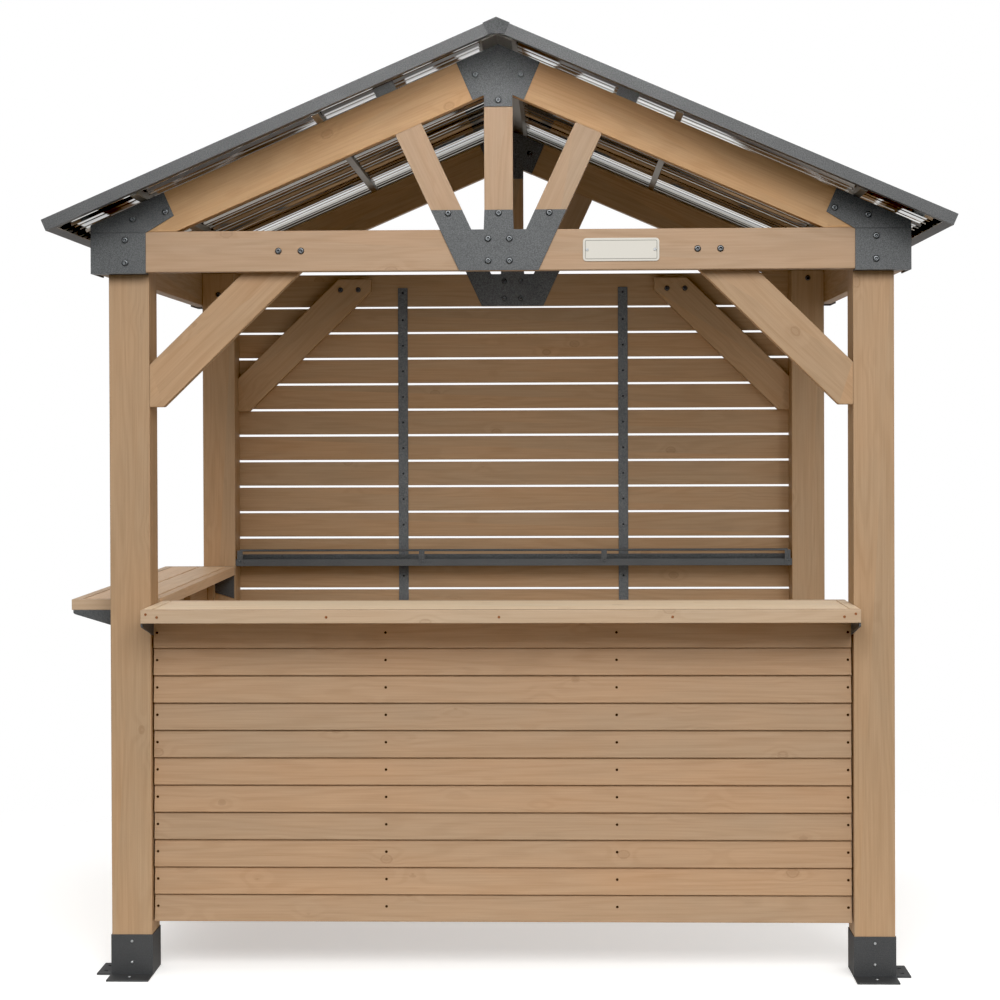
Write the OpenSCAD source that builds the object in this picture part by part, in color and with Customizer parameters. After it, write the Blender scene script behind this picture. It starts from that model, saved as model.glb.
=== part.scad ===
// Open timber gazebo bar with a steel gable roof, lapped siding on two sides,
// serving counters and a slatted back wall with a bottle shelf.
// Millimetres. +Z is up, the serving front faces -Y, the origin is on the ground at the centre.

/* [Frame] */
// Outside width over the posts
frame_width = 2220; // [1900:10:2800]
// Outside depth over the posts
frame_depth = 1680; // [1500:10:2200]
// Side of the square posts
post_size = 115; // [100:1:130]
// Height of the beam tops above the ground
beam_top = 2111; // [2000:1:2300]
// Height of the beam boards
beam_height = 115; // [100:1:130]
// Thickness of the beam, rafter and brace boards
board_thickness = 38; // [32:1:45]

/* [Post feet] */
// Height of the steel sleeve round a post
sleeve_height = 116; // [90:1:125]
// Sheet thickness of the sleeve
sleeve_wall = 2; // [1.5:0.5:3]
// Thickness of the base plate
foot_plate = 5; // [3:0.5:6]
// Clearance of a post inside its sleeve
foot_fit = 0.2; // [0.1:0.1:0.5]
// Width of the flange on the outer side
side_flange = 42; // [36:1:60]
// Length of the flange at the front or rear
end_flange = 72; // [50:1:90]
// Diameter of the anchor holes
anchor_hole = 12; // [8:1:14]
// Distance between the two anchor holes of a side flange
anchor_spacing = 56; // [40:1:80]

/* [Knee braces] */
// Width of a brace board
brace_width = 114; // [90:1:120]
// Reach of a brace along the beam from the post
brace_run = 484; // [420:1:560]
// Lean of a brace above the horizontal
brace_angle = 44.2; // [40:0.1:48]
// Flat at the lower end of a brace
brace_toe = 40; // [30:1:50]
// Plumb cut at the upper end of a brace
brace_heel = 44; // [30:1:50]
// Distance of the brace top below the beam top
brace_inset = 19; // [10:1:25]

/* [Gable trusses] */
// Roof pitch
roof_pitch = 23.4; // [20:0.1:26]
// Depth of a rafter board
rafter_depth = 115; // [100:1:125]
// Plumb height of a rafter at its lower end
rafter_tail = 22; // [15:1:30]
// Width of a king post
king_width = 80; // [70:1:90]
// Width of a strut
strut_width = 80; // [70:1:85]
// Distance of a strut foot from the centre of the beam
strut_offset = 121; // [115:1:150]
// Lean of a strut from the vertical
strut_lean = 25; // [20:0.1:30]
// Thickness of the truss plates and corner brackets
plate_thickness = 4; // [3:0.5:5]
// Height of the lower truss plate above the beam top
gusset_rise = 55; // [40:1:65]
// Length of the apex plate down each rafter
apex_reach = 128; // [110:1:150]
// Length of the apex plate down the king post below the rafters
apex_drop = 32; // [20:1:45]
// Length of a corner bracket along the beams
corner_reach = 152; // [130:1:170]
// Length of a corner bracket up the rafter
corner_arm = 222; // [205:1:240]
// Width of the corner bracket arm on the rafter
corner_arm_width = 72; // [62:1:82]
// Width of the seam between the face and the arm of a corner bracket
fold_width = 2; // [1:0.5:4]
// Depth of that seam
fold_depth = 1; // [0.5:0.1:2]

/* [Roof cover] */
// Horizontal overhang of the roof past the beam ends
eave_overhang = 88; // [70:1:130]
// Overhang of the roof past the gable beams
gable_overhang = 175; // [140:1:230]
// Sheet thickness of the edge trims
trim_metal = 2; // [1.5:0.5:3]
// Width of the trim flanges
trim_flange = 28; // [22:1:36]
// Height of the roof trims' lower edge above the rafters' tops
trim_lift = 4; // [2:0.5:8]
// Clearance between the purlins' ends and the gable trims
trim_clear = 2; // [1:0.5:4]
// Gap between the two gable trims under the ridge cap
trim_joint = 0.6; // [0.4:0.1:2]
// Height of the steel purlins
purlin_height = 27; // [16:1:34]
// Width of the steel purlins
purlin_width = 20; // [16:1:30]
// Horizontal distance between purlins
purlin_spacing = 500; // [440:1:520]
// Half width of the ridge purlin along the slope
ridge_purlin = 45; // [35:1:60]
// Height of the roof sheet ribs
rib_height = 8; // [6:1:20]
// Spacing of the roof sheet ribs
rib_pitch = 200; // [120:1:240]
// Width of a rib at its top
rib_top = 40; // [30:1:60]
// Width of a sloping rib side
rib_side = 10; // [8:1:16]
// Number of low ribs between two main ribs
minor_ribs = 2; // [0:1:3]
// Height of a low rib
minor_height = 3; // [2:0.5:5]
// Width of a low rib at its top
minor_top = 10; // [6:1:16]
// Width of a sloping side of a low rib
minor_side = 4; // [3:1:8]
// Thickness of the roof sheets
sheet_thickness = 1.5; // [1:0.1:2]
// Horizontal distance of the left rafter clip from the ridge
left_clip_position = 314; // [290:1:370]
// Horizontal distance of the right rafter clip from the ridge
right_clip_position = 358; // [300:1:380]
// Length of a rafter clip
clip_length = 61; // [45:1:75]
// Reach of the ridge cap down each slope
cap_reach = 23; // [18:1:40]
// Thickness of the ridge cap
cap_metal = 2.5; // [1.5:0.5:4]
// Half width of the flat lower edge of the folded cap ends
cap_end_half = 22; // [16:1:28]
// Height of the folded cap ends below the cap edges
cap_end_drop = 28; // [20:1:36]

/* [Siding] */
// Height of the lowest siding edge above the ground
siding_bottom = 150; // [130:1:180]
// Exposed height of a siding board
siding_exposure = 78; // [60:0.1:100]
// Least height of a top course, below which the course under it runs to the top
siding_least = 30; // [20:1:50]
// Thickness of a siding board at its lower edge
siding_butt = 20; // [17:1:24]
// Thickness of a siding board at its upper edge
siding_tip = 11; // [9:1:14]
// Distance of the siding behind the outer post faces
siding_setback = 15; // [8:1:20]
// Setback of the left wall from the posts' outer face
side_setback = 0; // [0:1:15]
// Width of the wall studs
stud_width = 38; // [32:1:45]
// Depth of the wall studs
stud_depth = 22; // [18:1:40]
// Distance of the inner front studs from the centre
stud_offset = 328; // [280:1:380]

/* [Counters] */
// Height of the front counter
counter_top = 1052; // [950:1:1100]
// Thickness of the front counter
counter_thickness = 37; // [30:1:45]
// Reach of the front counter past the posts
counter_reach = 150; // [110:1:180]
// Depth of the front counter
counter_depth = 335; // [310:1:380]
// Height of the left counter
side_counter_top = 1061; // [955:1:1100]
// Thickness of the left counter
side_counter_thickness = 31; // [26:1:40]
// Reach of the left counter past the posts
side_counter_reach = 138; // [110:1:160]
// Width of the edge boards of a counter
edge_board = 27; // [20:1:35]
// Width of the grooves between counter boards
groove_width = 2; // [1:0.5:3]
// Depth of the grooves between counter boards
groove_depth = 4; // [2:0.5:6]
// Thickness of the counter bracket plates
bracket_plate = 5; // [4:0.5:8]
// Height of a counter bracket at its nose
bracket_nose = 12; // [8:1:20]
// Height of a counter bracket at its inner end
bracket_height = 84; // [60:1:100]
// Clearance between a counter and the posts
counter_fit = 0.3; // [0.1:0.1:0.6]

/* [Back wall] */
// Height of a back wall slat
slat_height = 85.2; // [70:0.1:100]
// Gap between the slats
slat_gap = 7.6; // [5:0.1:12]
// Thickness of a slat
slat_thickness = 19; // [16:1:25]
// Lowest height a slat may reach above the ground
slat_floor = 130; // [115:1:200]
// Width of the steel straps
strap_width = 35; // [28:1:45]
// Thickness of the steel straps
strap_thickness = 4; // [3:0.5:5]
// Clear distance between a strap and the nearest knee brace
strap_clear = 95; // [60:1:130]
// Length of a strap above the beam underside
strap_overlap = 66; // [40:1:80]

/* [Bottle shelf] */
// Height of the shelf underside above the ground
shelf_bottom = 1061; // [1000:1:1200]
// Height of the shelf lips
shelf_lip = 24; // [16:1:40]
// Height of the shelf's back edge
shelf_back_lip = 36; // [20:1:60]
// Sheet thickness of the shelf
shelf_metal = 3; // [2:0.5:4]
// Diameter of the guard rail
rail_diameter = 8; // [7:1:12]
// Height of the guard rail axis above the lip
rail_rise = 32; // [15:1:50]
// Distance of the inner rail uprights from the centre
rail_offset = 326; // [250:1:400]
// Width of the flat uprights that carry the rail
rail_upright = 20; // [12:1:30]

/* [Hidden] */
$fn = 48;
eps = 0.01;
half_w = frame_width / 2;
half_d = frame_depth / 2;
in_w = half_w - post_size;
in_d = half_d - post_size;
beam_bottom = beam_top - beam_height;
beam_end = half_w + board_thickness;
beam_face = half_d + board_thickness;
slope = tan(roof_pitch);
apex = beam_top + rafter_tail + beam_end * slope;
under_apex = apex - rafter_depth / cos(roof_pitch);
rafter_heel = (under_apex - beam_top) / slope;
slope_len = (beam_end + eave_overhang) / cos(roof_pitch);
gable_y = beam_face + gable_overhang;
trim_top = purlin_height + rib_height + trim_metal;
sheet_half = gable_y - trim_metal - 1;
rib_count = round(2 * sheet_half / rib_pitch);
rib_step = 2 * sheet_half / rib_count;
sleeve_in = post_size / 2 + foot_fit;
sleeve_out = sleeve_in + sleeve_wall;
brace_rise = (brace_run - brace_toe) * tan(brace_angle) + brace_heel;
brace_foot = beam_top - brace_inset - brace_rise;
brace_back = brace_width / cos(brace_angle) - brace_toe * tan(brace_angle);
strut_slope = tan(strut_lean);
strut_half = strut_width / 2 / cos(strut_lean);
counter_under = counter_top - counter_thickness;
counter_front = -half_d - counter_reach;
counter_back = counter_front + counter_depth;
side_under = side_counter_top - side_counter_thickness;
side_edge = -half_w - side_counter_reach;
siding_half_x = in_w - bracket_plate;
siding_half_y = in_d - bracket_plate;
slat_pitch = slat_height + slat_gap;
slat_count = floor((beam_bottom - slat_floor) / slat_pitch);
slat_lowest = beam_bottom - slat_count * slat_pitch;
shelf_back = half_d - strap_thickness;
strap_offset = in_w - brace_run - strap_clear - strap_width / 2;

// Point on the right roof slope: s down from the ridge, h above the rafter tops.
function on_slope(s, h) = [s * cos(roof_pitch) + h * sin(roof_pitch),
                           apex - s * sin(roof_pitch) + h * cos(roof_pitch)];
function flip(p) = [-p[0], p[1]];
// Point on the centre line at height h above the rafter tops, measured square to the slope.
function ridge(h) = [0, apex + h / cos(roof_pitch)];
function gusset_outer(z) = strut_offset + (z - beam_top) * strut_slope + strut_half;
function gusset_inner(z) = strut_offset + (z - beam_top) * strut_slope - strut_half;

// Board of an upright outline in X and Z, from y to y + thick.
module upright_x(y, thick) {
  translate([0, y + thick, 0])
    rotate([90, 0, 0])
      linear_extrude(thick)
        children();
}

// Board of an upright outline in Y and Z, from x to x + thick.
module upright_y(x, thick) {
  translate([x, 0, 0])
    rotate([90, 0, 90])
      linear_extrude(thick)
        children();
}

module box(low, high) {
  translate(low)
    cube(high - low);
}

// Frame of the right roof slope: X down the slope, Z square to it.
module slope_frame() {
  translate([0, 0, apex])
    rotate([0, roof_pitch, 0])
      children();
}

// Band over both slopes between two heights above the rafter tops.
module chevron(low, high, reach) {
  polygon([ridge(high), on_slope(reach, high), on_slope(reach, low), ridge(low),
           flip(on_slope(reach, low)), flip(on_slope(reach, high))]);
}

module post(side, end) {
  color("#B2936F")
    translate([side * (half_w - post_size / 2) - post_size / 2, end * (half_d - post_size / 2) - post_size / 2, foot_plate])
      cube([post_size, post_size, beam_top - foot_plate]);
}

// Foot with its flanges towards -X and -Y, round its own post axis.
module foot_body() {
  difference() {
    union() {
      box([-sleeve_out, -sleeve_out, 0], [sleeve_out, sleeve_out, sleeve_height]);
      box([-sleeve_out - side_flange, -sleeve_out, 0], [0, sleeve_out, foot_plate]);
      box([-sleeve_out, -sleeve_out - end_flange, 0], [sleeve_out, 0, foot_plate]);
    }
    box([-sleeve_in, -sleeve_in, foot_plate], [sleeve_in, sleeve_in, sleeve_height + 1]);
    for (y = [-anchor_spacing / 2, anchor_spacing / 2])
      translate([-sleeve_out - side_flange / 2, y, -1])
        cylinder(d = anchor_hole, h = foot_plate + 2);
  }
}

module foot(side, end) {
  color("#46484A")
    translate([side * (half_w - post_size / 2), end * (half_d - post_size / 2), 0])
      mirror([side > 0 ? 1 : 0, 0, 0])
        mirror([0, end > 0 ? 1 : 0, 0])
          foot_body();
}

module gable_beam(end) {
  color("#B2936F")
    box([-beam_end, end > 0 ? half_d : -beam_face, beam_bottom],
        [beam_end, end > 0 ? beam_face : -half_d, beam_top]);
}

module side_beam(side) {
  color("#B2936F")
    box([side > 0 ? half_w : -beam_end, -half_d, beam_bottom],
        [side > 0 ? beam_end : -half_w, half_d, beam_top]);
}

// Outline of the right-hand brace, in from the post face.
module brace_outline() {
  translate([in_w, brace_foot])
    polygon([[0, 0], [-brace_toe, 0], [-brace_run, brace_rise - brace_heel], [-brace_run, brace_rise],
             [-(brace_rise - brace_back) / tan(brace_angle), brace_rise], [0, brace_back]]);
}

module knee_braces(end) {
  color("#B2936F")
    for (m = [0, 1])
      mirror([m, 0, 0])
        upright_x(end > 0 ? half_d - board_thickness : -half_d, board_thickness)
          brace_outline();
}

module rafter(side, end) {
  color("#B2936F")
    mirror([side < 0 ? 1 : 0, 0, 0])
      upright_x(end > 0 ? half_d : -beam_face, board_thickness)
        polygon([[0, apex], [beam_end, beam_top + rafter_tail], [beam_end, beam_top],
                 [rafter_heel, beam_top], [0, under_apex]]);
}

module king_posts() {
  king_shoulder = under_apex - king_width / 2 * slope;
  color("#B2936F")
    for (y = [-beam_face, half_d])
      upright_x(y, board_thickness)
        polygon([[-king_width / 2, beam_top], [king_width / 2, beam_top], [king_width / 2, king_shoulder],
                 [0, under_apex], [-king_width / 2, king_shoulder]]);
}

// A pair of struts leaning out from the beam to the rafters.
module struts(end) {
  low_in = strut_offset - strut_half;
  low_out = strut_offset + strut_half;
  in_h = (under_apex - beam_top - low_in * slope) / (1 + slope * strut_slope);
  out_h = (under_apex - beam_top - low_out * slope) / (1 + slope * strut_slope);
  color("#B2936F")
    for (m = [0, 1])
      mirror([m, 0, 0])
        upright_x(end > 0 ? half_d : -beam_face, board_thickness)
          polygon([[low_in, beam_top], [low_out, beam_top], [low_out + out_h * strut_slope, beam_top + out_h],
                   [low_in + in_h * strut_slope, beam_top + in_h]]);
}

module gusset_outline() {
  top = beam_top + gusset_rise;
  right = [[gusset_outer(beam_bottom), beam_bottom], [gusset_outer(top), top], [gusset_inner(top), top],
           [gusset_inner(beam_top), beam_top], [king_width / 2 + 2, beam_top], [king_width / 2, top]];
  left = [for (i = [len(right) - 1 : -1 : 0]) flip(right[i])];
  polygon(concat(right, left));
}

module apex_outline() {
  arm = king_width / 2;
  right = [on_slope(apex_reach, 0), on_slope(apex_reach, -rafter_depth), [arm, under_apex - arm * slope],
           [arm, under_apex - arm * slope - apex_drop]];
  left = [for (i = [len(right) - 1 : -1 : 0]) flip(right[i])];
  polygon(concat([[0, apex]], right, left));
}

module truss_plates(end) {
  outer = end > 0 ? beam_face : -beam_face - plate_thickness;
  inner = end > 0 ? half_d - plate_thickness : -half_d;
  color("#46484A")
    for (y = [outer, inner]) {
      upright_x(y, plate_thickness)
        gusset_outline();
      upright_x(y, plate_thickness)
        apex_outline();
    }
}

// Bracket at the front right corner: face plate with an arm on the rafter, side plate and sole.
module corner_bracket() {
  edge = beam_end + plate_thickness;
  near = beam_end - corner_reach;
  low = beam_bottom - plate_thickness;
  arm_start = beam_end / cos(roof_pitch);
  arm_top = on_slope(arm_start - corner_arm, 0);
  arm_low = on_slope(arm_start - corner_arm, -corner_arm_width);
  face = -beam_face - plate_thickness;
  fold = beam_top - plate_thickness;
  difference() {
    union() {
      upright_x(face, plate_thickness)
        polygon([[near, low], [edge, low], [edge, beam_top + rafter_tail - plate_thickness], arm_top, arm_low,
                 [near, fold]]);
      box([beam_end, face, low], [edge, -beam_face + corner_reach, beam_top]);
      box([near, face, low], [edge, -half_d, beam_bottom]);
    }
    box([near - 1, face - 1, fold], [edge + 1, face + fold_depth, fold + fold_width]);
  }
}

module corner_brackets(end) {
  color("#46484A")
    for (m = [0, 1])
      mirror([m, 0, 0])
        mirror([0, end > 0 ? 1 : 0, 0])
          corner_bracket();
}

module roof_purlins() {
  half_run = gable_y - trim_flange - trim_clear;
  color("#3A3B3D") {
    for (m = [0, 1], k = [1, 2])
      mirror([m, 0, 0])
        slope_frame()
          box([k * purlin_spacing / cos(roof_pitch) - purlin_width / 2, -half_run, 0],
              [k * purlin_spacing / cos(roof_pitch) + purlin_width / 2, half_run, purlin_height]);
    upright_x(-half_run, 2 * half_run)
      chevron(0, purlin_height, ridge_purlin);
  }
}

// One packer between each front rafter and its roof sheet.
module rafter_clips() {
  color("#3A3B3D")
    for (m = [0, 1]) {
      mid = (m == 0 ? right_clip_position : left_clip_position) / cos(roof_pitch);
      mirror([m, 0, 0])
        slope_frame()
          translate([mid - clip_length / 2, -beam_face, 0])
            cube([clip_length, board_thickness, purlin_height]);
    }
}

// Ribbed sheet on the right slope, ending on a rib under each gable trim.
module roof_sheet() {
  pan = purlin_height + sheet_thickness;
  crown = purlin_height + rib_height;
  half = rib_top / 2;
  foot_half = half + rib_side;
  minor_half = minor_top / 2;
  minor_foot = minor_half + minor_side;
  low = pan + minor_height;
  main = [[-foot_half, pan], [-half, crown], [half, crown], [foot_half, pan]];
  minor = [[-minor_foot, pan], [-minor_half, low], [minor_half, low], [minor_foot, pan]];
  ribs = [for (i = [0 : rib_count - 1], k = [0 : minor_ribs], c = k > 0 ? minor : i > 0 ? main : [])
            [-sheet_half + (i + k / (minor_ribs + 1)) * rib_step + c[0], c[1]]];
  top = concat([[-sheet_half, crown], [-sheet_half + half, crown], [-sheet_half + foot_half, pan]], ribs,
               [[sheet_half - foot_half, pan], [sheet_half - half, crown], [sheet_half, crown]]);
  under = [for (i = [len(top) - 1 : -1 : 0]) [top[i][0], top[i][1] - sheet_thickness]];
  slope_frame()
    upright_y(0, slope_len - trim_metal)
      polygon(concat(top, under));
}

module left_roof_sheet() {
  color("#8E9194")
    mirror([1, 0, 0])
      roof_sheet();
}

module right_roof_sheet() {
  color("#8E9194")
    roof_sheet();
}

module ridge_cap() {
  outer_y = gable_y + trim_metal;
  edge = on_slope(cap_reach, trim_top);
  top_edge = on_slope(cap_reach, trim_top + cap_metal);
  low = edge[1] - cap_end_drop;
  color("#5C5E60")
    union() {
      upright_x(-outer_y, 2 * outer_y)
        chevron(trim_top, trim_top + cap_metal, cap_reach);
      for (y = [-outer_y, gable_y])
        upright_x(y, trim_metal)
          polygon([ridge(trim_top + cap_metal), top_edge, edge, [cap_end_half, low], [-cap_end_half, low],
                   flip(edge), flip(top_edge)]);
    }
}

// Band along the right slope between two heights, cut plumb just short of the centre line.
module slope_band(low, high) {
  joint = trim_joint / 2;
  polygon([[joint, apex + high / cos(roof_pitch) - joint * slope], on_slope(slope_len, high),
           on_slope(slope_len, low), [joint, apex + low / cos(roof_pitch) - joint * slope]]);
}

// Two folded channels along the slopes of a gable, closed at the eaves and parted under the ridge cap.
module gable_trim(end) {
  color("#6E6E6E")
    mirror([0, end > 0 ? 1 : 0, 0])
      for (m = [0, 1])
        mirror([m, 0, 0])
          union() {
            upright_x(-gable_y, trim_metal)
              slope_band(trim_lift, trim_top);
            upright_x(-gable_y, trim_flange)
              slope_band(trim_top - trim_metal, trim_top);
            upright_x(-gable_y, trim_flange)
              slope_band(trim_lift, trim_lift + trim_metal);
            slope_frame()
              box([slope_len - trim_metal, -gable_y, trim_lift], [slope_len, -gable_y + trim_flange, trim_top]);
          }
}

// Folded channel along an eave between the gable trims.
module eave_trim(side) {
  reach = gable_y - trim_flange;
  lip = slope_len - trim_flange;
  back = slope_len - trim_metal;
  hem_top = trim_lift + trim_metal;
  color("#5C5E60")
    mirror([side < 0 ? 1 : 0, 0, 0])
      upright_x(-reach, 2 * reach)
        polygon([on_slope(lip, trim_top), on_slope(slope_len, trim_top), on_slope(slope_len, trim_lift),
                 on_slope(lip, trim_lift), on_slope(lip, hem_top), on_slope(back, hem_top),
                 on_slope(back, trim_top - trim_metal), on_slope(lip, trim_top - trim_metal)]);
}

// Lapped boards in section: outer face towards -X, back face at x = 0, top at the given height.
module lapped_section(top) {
  count = max(1, floor((top - siding_bottom - siding_least) / siding_exposure) + 1);
  teeth = [for (i = [0 : count - 1], c = [0, 1])
             let (low = siding_bottom + i * siding_exposure,
                  high = i == count - 1 ? top : low + siding_exposure,
                  part = min(1, (high - low) / siding_exposure))
             c == 0 ? [-siding_butt, low]
                    : [-siding_butt + (siding_butt - siding_tip) * part, high]];
  polygon(concat([[0, siding_bottom]], teeth, [[0, top]]));
}

module front_siding() {
  color("#AE8D68")
    upright_y(-siding_half_x, 2 * siding_half_x)
      translate([-half_d + siding_setback + siding_butt, 0])
        lapped_section(counter_under);
}

module front_studs() {
  back = -half_d + siding_setback + siding_butt;
  color("#9C7C59")
    for (x = [-siding_half_x, -stud_offset - stud_width / 2, stud_offset - stud_width / 2, siding_half_x - stud_width])
      box([x, back, siding_bottom], [x + stud_width, back + stud_depth, counter_under]);
}

module left_siding() {
  color("#AE8D68")
    translate([-half_w + side_setback + siding_butt, siding_half_y, 0])
      rotate([90, 0, 0])
        linear_extrude(2 * siding_half_y)
          lapped_section(side_under);
}

module left_studs() {
  back = -half_w + side_setback + siding_butt;
  third = siding_half_y / 3;
  color("#9C7C59")
    for (y = [-siding_half_y, -third - stud_width / 2, third - stud_width / 2, siding_half_y - stud_width])
      box([back, y, siding_bottom], [back + stud_depth, y + stud_width, side_under]);
}

module rear_slats() {
  color("#8A6B4C")
    for (i = [1 : slat_count])
      box([-half_w, half_d, beam_bottom - i * slat_pitch],
          [half_w, half_d + slat_thickness, beam_bottom - i * slat_pitch + slat_height]);
}

module slat_straps() {
  color("#3A3B3D")
    for (x = [-strap_offset, strap_offset])
      box([x - strap_width / 2, half_d - strap_thickness, slat_lowest],
          [x + strap_width / 2, half_d, beam_bottom + strap_overlap]);
}

// Slab with grooves that part its edge boards and planks, from [0, 0] to the given size.
module plank_slab(length, depth, thick, planks) {
  plank = (depth - 2 * edge_board) / planks;
  difference() {
    cube([length, depth, thick]);
    for (i = [0 : planks])
      translate([edge_board, edge_board + i * plank - groove_width / 2, thick - groove_depth])
        cube([length - 2 * edge_board, groove_width, groove_depth + 1]);
    for (x = [edge_board, length - edge_board])
      translate([x - groove_width / 2, -1, thick - groove_depth])
        cube([groove_width, depth + 2, groove_depth + 1]);
  }
}

module front_counter() {
  length = 2 * (in_w - counter_fit);
  color("#D0B493")
    translate([-length / 2, counter_front, counter_under])
      plank_slab(length, counter_depth, counter_thickness, 3);
}

module left_counter() {
  length = 2 * (in_d - counter_fit);
  depth = side_counter_reach + post_size;
  color("#D0B493")
    translate([side_edge + depth, -length / 2, side_under])
      rotate([0, 0, 90])
        plank_slab(length, depth, side_counter_thickness, 2);
}

// Bracket plate in outline: nose at the left, top edge at zero.
module bracket_outline(reach) {
  polygon([[0, 0], [0, -bracket_nose + 4], [4, -bracket_nose], [reach, -bracket_height], [reach, 0]]);
}

module front_counter_brackets() {
  color("#46484A")
    for (m = [0, 1])
      mirror([m, 0, 0])
        upright_y(in_w - bracket_plate, bracket_plate)
          translate([counter_front + 5, counter_under])
            bracket_outline(counter_depth - 10);
}

module left_counter_brackets() {
  color("#46484A")
    for (y = [-in_d, in_d - bracket_plate])
      upright_x(y, bracket_plate)
        translate([side_edge + 5, side_under])
          bracket_outline(side_counter_reach + post_size - 10);
}

module bottle_shelf() {
  lip_top = shelf_bottom + shelf_lip;
  back_top = shelf_bottom + shelf_back_lip;
  rail_z = lip_top + rail_rise;
  tray = in_d + shelf_metal;
  mid_low = lip_top - shelf_lip / 2;
  end_x = in_w - shelf_metal - rail_upright / 2 - 3;
  color("#3A3B3D")
    union() {
      upright_y(-in_w, 2 * in_w)
        polygon([[tray, shelf_bottom], [shelf_back, shelf_bottom], [shelf_back, back_top],
                 [shelf_back - shelf_metal, back_top], [shelf_back - shelf_metal, shelf_bottom + shelf_metal],
                 [tray + shelf_metal, shelf_bottom + shelf_metal], [tray + shelf_metal, lip_top], [tray, lip_top]]);
      for (x = [-in_w, in_w - shelf_metal])
        box([x, tray, shelf_bottom], [x + shelf_metal, shelf_back, lip_top]);
      translate([-end_x, in_d + rail_diameter / 2, rail_z])
        rotate([0, 90, 0])
          cylinder(d = rail_diameter, h = 2 * end_x);
      for (u = [[-end_x, shelf_bottom], [-rail_offset, mid_low], [rail_offset, mid_low], [end_x, shelf_bottom]])
        upright_y(u[0] - rail_upright / 2, rail_upright)
          polygon([[in_d, u[1]], [tray + shelf_metal, u[1]], [tray + shelf_metal, lip_top], [tray, lip_top],
                   [tray, rail_z], [in_d, rail_z]]);
    }
}

post(-1, -1);  // front_left_post
post(1, -1);  // front_right_post
post(-1, 1);  // rear_left_post
post(1, 1);  // rear_right_post
foot(-1, -1);  // front_left_foot
foot(1, -1);  // front_right_foot
foot(-1, 1);  // rear_left_foot
foot(1, 1);  // rear_right_foot
gable_beam(-1);  // front_beam
gable_beam(1);  // rear_beam
side_beam(-1);  // left_beam
side_beam(1);  // right_beam
knee_braces(-1);  // front_knee_braces
knee_braces(1);  // rear_knee_braces
rafter(-1, -1);  // front_left_rafter
rafter(1, -1);  // front_right_rafter
rafter(-1, 1);  // rear_left_rafter
rafter(1, 1);  // rear_right_rafter
king_posts();
struts(-1);  // front_struts
struts(1);  // rear_struts
truss_plates(-1);  // front_truss_plates
truss_plates(1);  // rear_truss_plates
corner_brackets(-1);  // front_corner_brackets
corner_brackets(1);  // rear_corner_brackets
roof_purlins();
rafter_clips();
left_roof_sheet();
right_roof_sheet();
ridge_cap();
gable_trim(-1);  // front_gable_trim
gable_trim(1);  // rear_gable_trim
eave_trim(-1);  // left_eave_trim
eave_trim(1);  // right_eave_trim
front_siding();
front_studs();
left_siding();
left_studs();
rear_slats();
slat_straps();
front_counter();
left_counter();
front_counter_brackets();
left_counter_brackets();
bottle_shelf();
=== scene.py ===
"""Gazebo bar in the studio: stained fir frame, powder-coated steel fittings and a ribbed steel roof."""
import math
import random

import bmesh
import bpy
from mathutils import Matrix, Vector


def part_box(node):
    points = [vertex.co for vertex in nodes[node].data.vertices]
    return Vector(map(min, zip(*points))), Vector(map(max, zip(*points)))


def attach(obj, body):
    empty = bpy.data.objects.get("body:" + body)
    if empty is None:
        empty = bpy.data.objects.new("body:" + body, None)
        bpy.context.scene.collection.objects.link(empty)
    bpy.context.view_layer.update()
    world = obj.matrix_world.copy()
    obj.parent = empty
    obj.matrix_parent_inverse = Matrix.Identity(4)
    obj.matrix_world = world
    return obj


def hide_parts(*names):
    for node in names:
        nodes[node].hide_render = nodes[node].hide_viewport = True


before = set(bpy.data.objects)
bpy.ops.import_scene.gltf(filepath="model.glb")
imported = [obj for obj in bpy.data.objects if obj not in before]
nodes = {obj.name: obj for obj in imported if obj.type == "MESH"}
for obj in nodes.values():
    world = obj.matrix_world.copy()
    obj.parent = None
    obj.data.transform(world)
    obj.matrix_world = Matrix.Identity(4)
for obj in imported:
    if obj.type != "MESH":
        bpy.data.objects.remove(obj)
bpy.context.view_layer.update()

MM = 0.001
FRONT = Vector((0, -1, 0))
BACK = Vector((0, 1, 0))
LEFT = Vector((-1, 0, 0))
RIGHT = Vector((1, 0, 0))
UP = Vector((0, 0, 1))

# Angles that the timber follows, in degrees.
ROOF_PITCH = 23.4
BRACE_LEAN = 44.2
STRUT_LEAN = 25.0

# Roof, in millimetres: purlins and ribs, and the pans' top face above the rafters.
PURLIN_SPACING = 500.0
RIB_PITCH = 200.0
PAN_HEIGHT = 28.5

# Lapped siding, in millimetres: what shows of a board and the least of the last one, the shadow slot over it with the
# lip behind, its thickness at the butt and at the tip, the gap to the next board and the rounding of its butt.
SIDING_EXPOSURE = 78.0
SIDING_LEAST = 30.0
SIDING_SLOT = 3.0
SIDING_LIP = 8.5
SIDING_BUTT = 20.0
SIDING_TIP = 11.0
SIDING_GAP = 0.4
SIDING_EASE = 1.8
SIDING_SEED = 7
BUTT_SPREAD, LINE_SPREAD = 0.8, 0.3  # small differences between boards

# Counter boards, in millimetres: the width of an edge board, the gap at its corner and the easing of all boards.
EDGE_BOARD = 27.0
CORNER_GAP = 0.2
BOARD_EASE = 2.0

# Eased edges of the frame, in millimetres, after its doubled points are welded.
TIMBER_EASE = 2.5
PLATE_EASE = 0.7
WELD_REACH = 0.01
LEAST_EASED_ANGLE = 25.0  # degrees


# Small tools

def linear(hex_colour):
    """Linear RGBA of an sRGB hex colour."""
    parts = [int(hex_colour[i:i + 2], 16) / 255 for i in (1, 3, 5)]
    return [c / 12.92 if c <= 0.04045 else ((c + 0.055) / 1.055) ** 2.4 for c in parts] + [1.0]


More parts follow.
